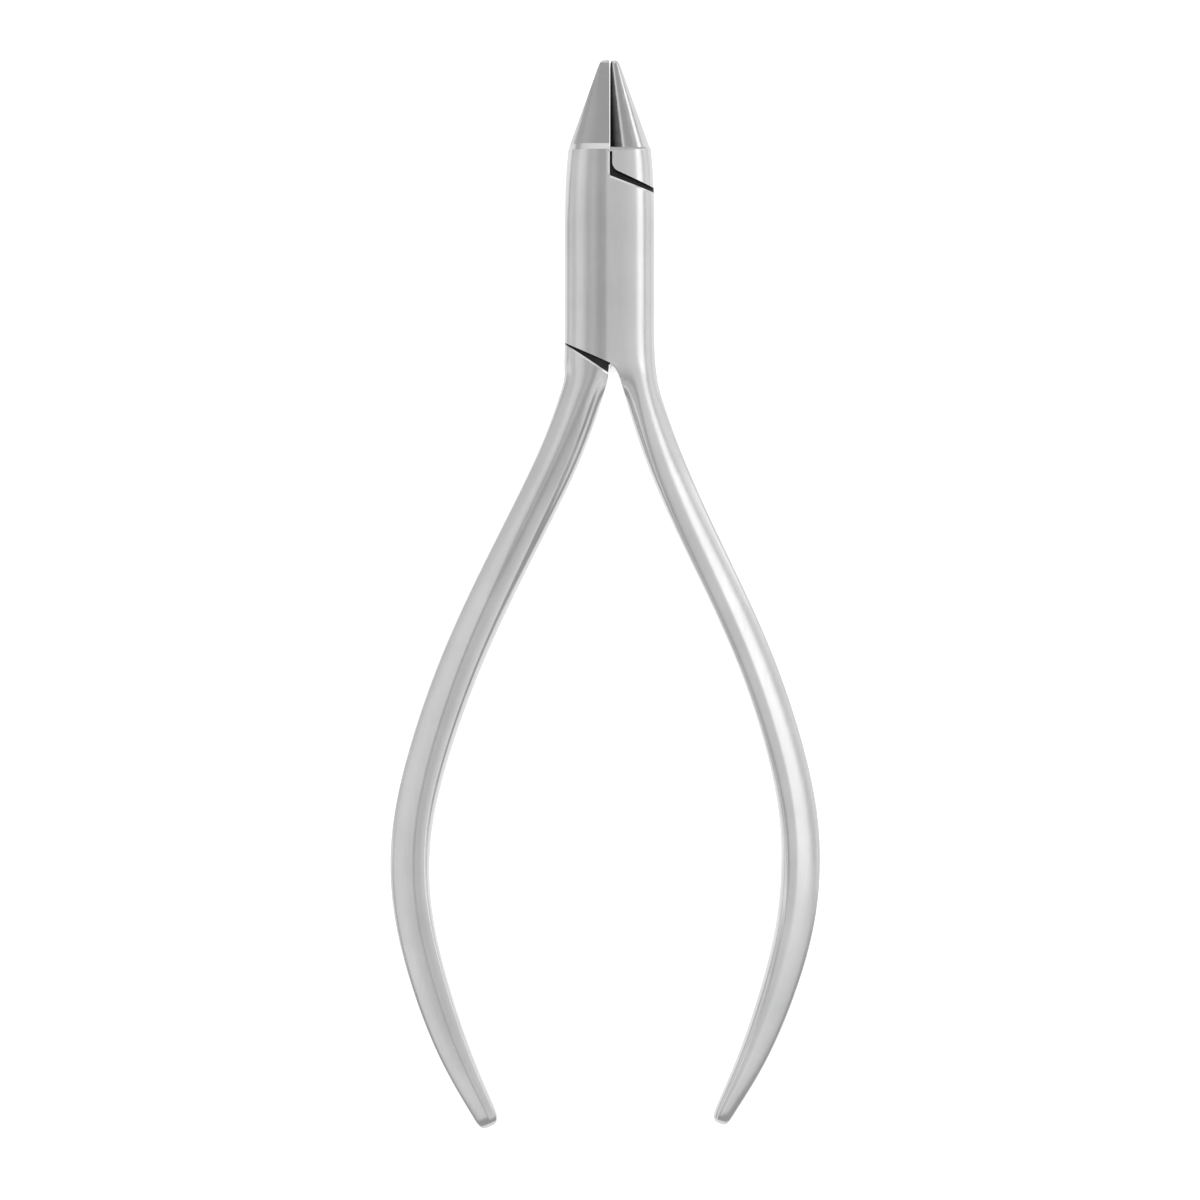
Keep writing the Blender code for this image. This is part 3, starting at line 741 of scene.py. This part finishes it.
bpy.ops.object.select_all(action="DESELECT")
bpy.ops.mesh.primitive_circle_add(vertices=64, radius=3, fill_type="NGON", location=(0, 0, -0.02 * MM))
board = bpy.context.active_object
board.name = "white_board"
white = bpy.data.materials.new("white_board")
white.use_nodes = True
paint = white.node_tree.nodes["Principled BSDF"]
paint.inputs["Base Color"].default_value = (0.92, 0.92, 0.92, 1)
paint.inputs["Roughness"].default_value = 0.8
paint.inputs["Specular IOR Level"].default_value = 0.1
paint.inputs["Emission Color"].default_value = (1, 1, 1, 1)
paint.inputs["Emission Strength"].default_value = 0.75
board.data.materials.append(white)
board.visible_glossy = False


# Grey table: a duller board just under the white one, which only reflections see, because the white board
# is burnt out to white only for the camera.

bpy.ops.object.select_all(action="DESELECT")
bpy.ops.mesh.primitive_circle_add(vertices=64, radius=3, fill_type="NGON", location=(0, 0, -0.05 * MM))
table = bpy.context.active_object
table.name = "grey_table"
grey = bpy.data.materials.new("grey_table")
grey.use_nodes = True
paint = grey.node_tree.nodes["Principled BSDF"]
paint.inputs["Base Color"].default_value = (0.3, 0.3, 0.3, 1)
paint.inputs["Roughness"].default_value = 0.8
paint.inputs["Emission Color"].default_value = (1, 1, 1, 1)
paint.inputs["Emission Strength"].default_value = 0.66
table.data.materials.append(grey)
table.visible_camera = table.visible_diffuse = False


# Backdrop: a plain white wall that stands round the table, a bare tube without ends. Only the camera sees
# it, so it changes nothing in the steel.

bpy.ops.object.select_all(action="DESELECT")
bpy.ops.mesh.primitive_cylinder_add(
    vertices=64, radius=2.9, depth=4, end_fill_type="NOTHING", location=(0, 0, 1.9)
)
wall = bpy.context.active_object
wall.name = "white_wall"
bright = bpy.data.materials.new("white_wall")
bright.use_nodes = True
paint = bright.node_tree.nodes["Principled BSDF"]
paint.inputs["Base Color"].default_value = (0, 0, 0, 1)
paint.inputs["Emission Color"].default_value = (1, 1, 1, 1)
paint.inputs["Emission Strength"].default_value = 1.1
wall.data.materials.append(bright)
wall.visible_glossy = wall.visible_diffuse = wall.visible_shadow = False


# Studio light: a broad softbox overhead, a brighter group to the right with a low one and a far one beyond
# it, one past the beaks, and four narrower or dimmer ones to the left, in a pale room.

world = bpy.data.worlds.new("studio")
bpy.context.scene.world = world
world.use_nodes = True
world.node_tree.nodes["Background"].inputs["Color"].default_value = (1, 1, 1, 1)
world.node_tree.nodes["Background"].inputs["Strength"].default_value = 0.42
AIM = Vector((0, -40 * MM, 4 * MM))


def softbox(name, lean_right, lean_up, distance, width, length, brightness):
    """An area light that leans from straight above by two angles and faces the tool."""
    bpy.ops.object.light_add(type="AREA")
    lamp = bpy.context.active_object
    lamp.name = name
    lamp.data.shape = "RECTANGLE"
    lamp.data.size, lamp.data.size_y = width, length
    lamp.data.energy = brightness * math.pi * width * length
    right, up = math.radians(lean_right), math.radians(lean_up)
    direction = Vector((math.sin(right), math.sin(up) * math.cos(right), math.cos(up) * math.cos(right)))
    lamp.location = AIM + direction * distance
    across = Vector((0, 1, 0)).cross(direction).normalized()
    lamp.rotation_euler = Matrix((across, direction.cross(across), direction)).transposed().to_euler()
    lamp.visible_camera = False


softbox("overhead_softbox", 11, -15, 1.4, 0.78, 1.8, 0.37)
softbox("right_softbox", 32, 11, 1.3, 0.42, 0.8, 0.85)
softbox("right_peak", 33, 16, 1.3, 0.36, 0.4, 0.35)
softbox("right_fill", 34, -26, 1.3, 0.5, 0.7, 0.4)
softbox("low_right_softbox", 66, 22, 1.3, 0.9, 1.0, 0.5)
softbox("far_right_softbox", 47, 52, 1.3, 0.44, 0.44, 1.1)
softbox("top_softbox", 0, 64, 1.3, 1.6, 0.5, 0.65)
softbox("near_left_softbox", -20, -16, 1.3, 0.16, 1.4, 0.35)
softbox("left_softbox", -40, -4, 1.3, 0.4, 2.0, 0.5)
softbox("low_left_softbox", -62, 30, 1.3, 0.7, 1.0, 0.3)
softbox("far_left_softbox", -76, -38, 1.3, 0.5, 0.5, 0.5)


# Camera: straight above the tool, as in the photograph. Its lens is set so that a pixel of the photograph,
# which is 1200 pixels wide, covers PIXEL at the tool's middle plane.

CAMERA_HEIGHT = 0.8
PIXEL = 0.12207 * MM
bpy.ops.object.camera_add(location=(-1.17 * MM, -40.4 * MM, CAMERA_HEIGHT), rotation=(0, 0, 0))
camera = bpy.context.active_object
camera.data.sensor_width = 36
camera.data.lens = 36 * (CAMERA_HEIGHT - MIDDLE) / (1200 * PIXEL)
camera.data.clip_start, camera.data.clip_end = 0.01, 20
bpy.context.scene.camera = camera
bpy.context.scene.view_settings.view_transform = "Standard"
